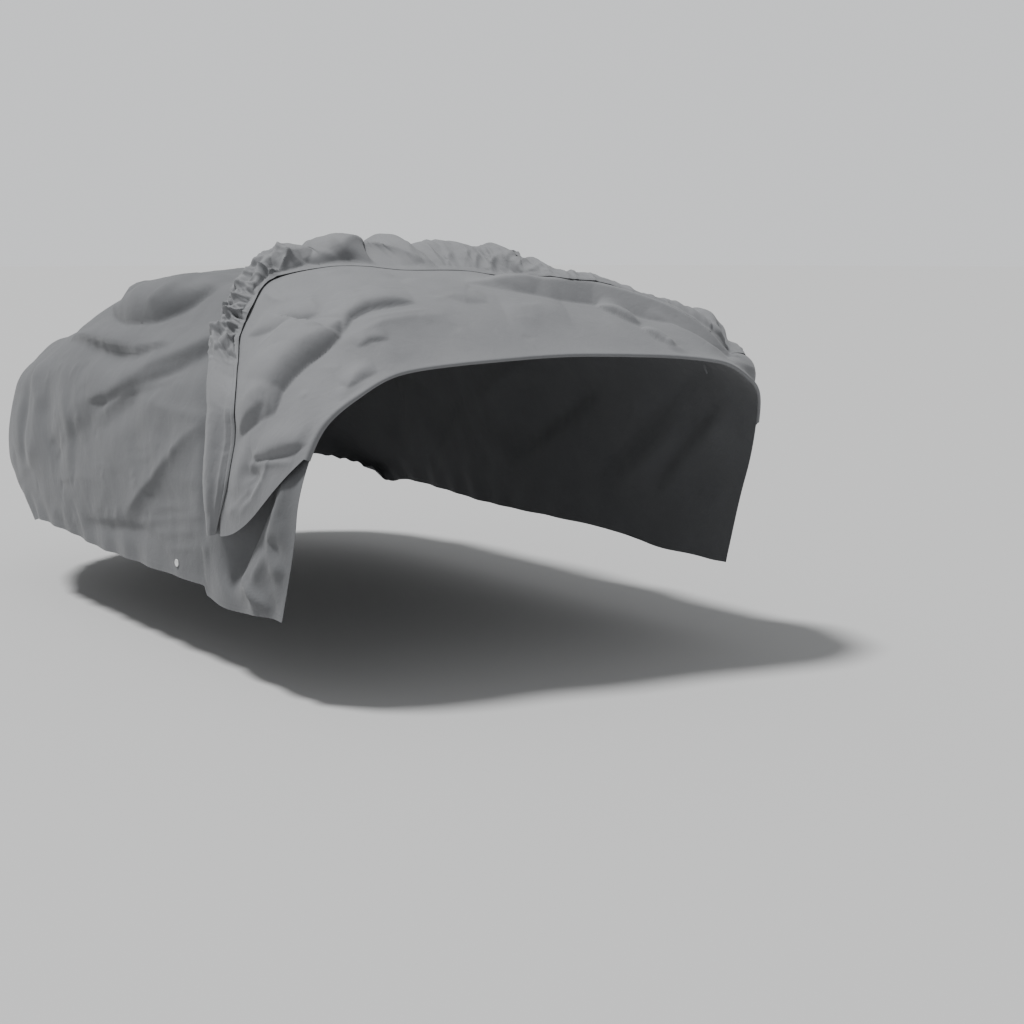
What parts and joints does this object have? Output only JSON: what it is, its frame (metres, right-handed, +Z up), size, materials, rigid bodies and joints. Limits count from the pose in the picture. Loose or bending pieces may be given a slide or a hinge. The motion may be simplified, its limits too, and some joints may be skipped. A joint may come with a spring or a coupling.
{
  "type": "car cover",
  "caption": "Fitted grey cloth cover draped over the rear and roof of a saloon car, its front turned back over the roof with a gathered elastic hem.",
  "frame": {"origin": "middle of the underside of the cloth at the top of the roof, where it lies on the car", "axes": "+X towards the front of the covered car, +Y towards its left side, +Z up"},
  "size_m": [3.5274, 2.0455, 1.3048],
  "materials": {
    "grey_cloth": "soft matte nonwoven with a faint sheen",
    "pale_plastic": "matte"
  },
  "bodies": {
    "root": {"cover_cloth": "grey_cloth", "eyelet_right": "pale_plastic", "eyelet_left": "pale_plastic"}
  },
  "joints": []
}
